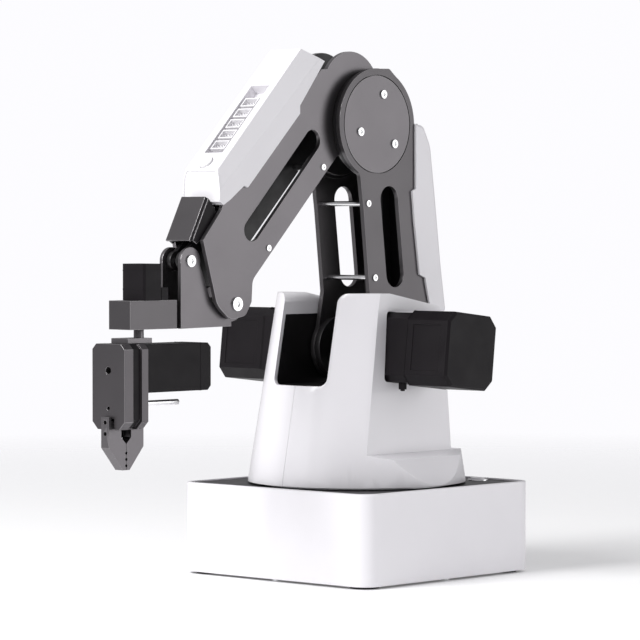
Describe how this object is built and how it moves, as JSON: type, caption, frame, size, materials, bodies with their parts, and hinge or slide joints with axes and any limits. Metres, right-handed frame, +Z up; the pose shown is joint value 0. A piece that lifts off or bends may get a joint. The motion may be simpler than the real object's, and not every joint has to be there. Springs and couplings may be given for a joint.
{
  "type": "desktop robot arm",
  "caption": "Desktop parallel-linkage robot arm with a square base, turning tower, plate arms and a two-jaw gripper.",
  "frame": {"origin": "on the base's turning axis, in the plane that the rubber feet stand on, at the centre of the four base bolt holes", "axes": "+X is the way the arm reaches, +Y is the robot's left, +Z is up"},
  "size_m": [0.2974, 0.193, 0.3264],
  "materials": {
    "white_shell": "smooth satin-gloss injection moulded",
    "dark_gloss": "dark glossy panel",
    "grey_anodised": "dark grey anodised, fine bead blast",
    "black_anodised": "black anodised",
    "black_plastic": "fine matt texture",
    "bright_steel": "bright machined",
    "machined_aluminium": "turned",
    "dark_motor": "black enamel",
    "circuit_board": "solder mask",
    "white_plastic": "satin",
    "rubber": "matt"
  },
  "bodies": {
    "base": {"base_shell": "white_shell", "base_bottom_plate": "black_plastic", "rubber_feet": "rubber", "base_plate_screws": "bright_steel", "bearing_carrier": "machined_aluminium", "yaw_bearing_outer": "bright_steel", "base_top_panel": "dark_gloss", "base_gearmotor": "dark_motor", "control_board": "circuit_board", "rear_port_panel": "black_plastic", "power_jack": "bright_steel", "rear_sockets": "bright_steel", "power_button_bezel": "bright_steel"},
    "power_button": {"power_button": "white_plastic"},
    "turret": {"turntable": "machined_aluminium", "tower_shell_left": "white_shell", "tower_shell_right": "white_shell", "tower_frame": "black_anodised", "shoulder_gearheads": "black_plastic", "shoulder_motors": "black_plastic"},
    "rear_arm": {"rear_arm_plate_left": "grey_anodised", "rear_arm_plate_right": "grey_anodised", "elbow_caps": "grey_anodised", "elbow_cap_screws": "bright_steel", "elbow_spacers": "black_anodised", "elbow_axle": "bright_steel", "shoulder_drive_hub": "black_anodised", "shoulder_idle_hub": "black_anodised", "shoulder_idle_bearing": "bright_steel", "rear_arm_spacer_rods": "bright_steel", "rear_arm_spacer_screws": "bright_steel", "rear_arm_cover": "white_shell"},
    "elbow_triangle": {"elbow_triangle": "black_anodised"},
    "rear_level_link": {"rear_level_link": "black_anodised"},
    "front_level_link": {"front_level_links": "black_anodised"},
    "forearm_crank": {"forearm_crank": "black_anodised"},
    "link_pin": {"drive_link_pin": "bright_steel"},
    "drive_link": {"forearm_drive_link": "black_anodised"},
    "forearm": {"forearm_plate_left": "grey_anodised", "forearm_plate_right": "grey_anodised", "elbow_bearings": "bright_steel", "wrist_axle": "bright_steel", "forearm_spacer_rods": "bright_steel", "forearm_spacer_screws": "bright_steel", "forearm_nose_plate": "grey_anodised", "forearm_cover": "white_shell", "forearm_ports": "white_plastic"},
    "unlock_button": {"unlock_button": "white_plastic"},
    "wrist": {"wrist_cheeks": "grey_anodised", "level_pivot_bolt": "bright_steel", "wrist_bridge": "black_anodised", "roll_block": "grey_anodised", "roll_servo": "black_plastic"},
    "tool": {"gripper_bracket": "grey_anodised", "gripper_front_plate": "grey_anodised", "gripper_body": "grey_anodised", "gripper_actuator": "black_plastic", "air_nozzle": "bright_steel"},
    "jaw_front": {"jaw_front": "grey_anodised"},
    "jaw_rear": {"jaw_rear": "grey_anodised"}
  },
  "joints": [
    {"name": "base_yaw", "type": "hinge", "parent": "base", "child": "turret", "pos_m": [0, 0, 0.0575], "axis": [0, 0, 1], "range_deg": [-90, 90]},
    {"name": "shoulder", "type": "hinge", "parent": "turret", "child": "rear_arm", "pos_m": [0, 0, 0.1415], "axis": [0, 1, 0], "range_deg": [-2, 75]},
    {"name": "elbow_level", "type": "hinge", "parent": "rear_arm", "child": "elbow_triangle", "pos_m": [0.00415, 0, 0.28144], "axis": [0, 1, 0], "range_deg": [-75, 2]},
    {"name": "forearm_pitch", "type": "hinge", "parent": "elbow_triangle", "child": "forearm", "pos_m": [0.00415, 0, 0.28144], "axis": [0, 1, 0], "range_deg": [-38, 24]},
    {"name": "wrist_level", "type": "hinge", "parent": "forearm", "child": "wrist", "pos_m": [0.12227, 0, 0.1713], "axis": [0, 1, 0], "range_deg": [-24, 38]},
    {"name": "tool_roll", "type": "hinge", "parent": "wrist", "child": "tool", "pos_m": [0.191, 0, 0.16], "axis": [0, 0, 1], "range_deg": [-90, 90]},
    {"name": "jaw_front_open", "type": "slide", "parent": "tool", "child": "jaw_front", "axis": [1, 0, 0], "range_m": [0, 0.01375]},
    {"name": "jaw_rear_open", "type": "slide", "parent": "tool", "child": "jaw_rear", "axis": [-1, 0, 0], "range_m": [0, 0.01375]},
    {"name": "rear_link_swing", "type": "hinge", "parent": "turret", "child": "rear_level_link", "pos_m": [-0.02252, 0, 0.1545], "axis": [0, 1, 0], "range_deg": [-2, 75]},
    {"name": "front_link_swing", "type": "hinge", "parent": "elbow_triangle", "child": "front_level_link", "pos_m": [0.03865, 0, 0.30744], "axis": [0, 1, 0], "range_deg": [-38, 24]},
    {"name": "crank_turn", "type": "hinge", "parent": "turret", "child": "forearm_crank", "pos_m": [0, 0, 0.1415], "axis": [0, 1, 0], "range_deg": [-38, 24]},
    {"name": "link_pin_turn", "type": "hinge", "parent": "forearm", "child": "link_pin", "pos_m": [-0.01486, 0, 0.29917], "axis": [0, 1, 0], "range_deg": [-24, 38]},
    {"name": "drive_link_swing", "type": "hinge", "parent": "link_pin", "child": "drive_link", "pos_m": [-0.01486, 0, 0.29917], "axis": [0, 1, 0], "range_deg": [-2, 75]},
    {"name": "power_button_press", "type": "slide", "parent": "base", "child": "power_button", "axis": [0, 0, -1], "range_m": [0, 0.0012], "stiffness_N_per_m": 300},
    {"name": "unlock_button_press", "type": "slide", "parent": "forearm", "child": "unlock_button", "axis": [-0.682, 0, -0.7314], "range_m": [0, 0.0012], "stiffness_N_per_m": 300}
  ],
  "couplings": [
    {"joint": "elbow_level", "follows": "shoulder", "ratio": -1},
    {"joint": "rear_link_swing", "follows": "shoulder", "ratio": 1},
    {"joint": "drive_link_swing", "follows": "shoulder", "ratio": 1},
    {"joint": "wrist_level", "follows": "forearm_pitch", "ratio": -1},
    {"joint": "front_link_swing", "follows": "forearm_pitch", "ratio": 1},
    {"joint": "crank_turn", "follows": "forearm_pitch", "ratio": 1},
    {"joint": "link_pin_turn", "follows": "forearm_pitch", "ratio": -1},
    {"joint": "jaw_rear_open", "follows": "jaw_front_open", "ratio": 1}
  ]
}
